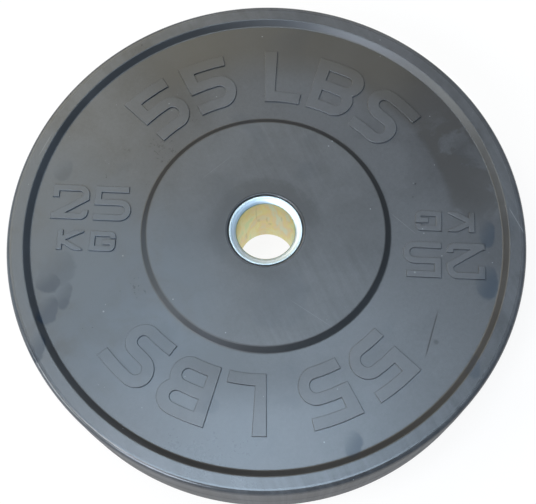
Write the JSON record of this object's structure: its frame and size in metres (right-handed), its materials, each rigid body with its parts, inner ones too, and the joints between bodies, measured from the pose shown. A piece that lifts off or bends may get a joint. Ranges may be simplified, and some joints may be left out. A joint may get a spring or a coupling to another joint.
{
  "type": "bumper plate",
  "caption": "Round rubber weight plate for a barbell, with a raised rim and hub, a sunken web with raised marks on both faces, and a steel sleeve lining its bore",
  "frame": {"origin": "on the plate's axis, in the plane of its back face", "axes": "+Z along the bore's axis, out of the front face; +X and +Y across the plate, with the marks reading along +X"},
  "size_m": [0.45, 0.45, 0.084],
  "materials": {
    "rubber": "moulded solid rubber, satin grey-black with a fine grain",
    "plated_steel": "turned steel with a bright zinc plating, yellow passivated in the bore",
    "bare_steel": "bare steel plate, hidden in the rubber"
  },
  "bodies": {
    "root": {"rubber_body": "rubber", "hub_sleeve": "plated_steel", "anchor_disc": "bare_steel"}
  },
  "joints": []
}
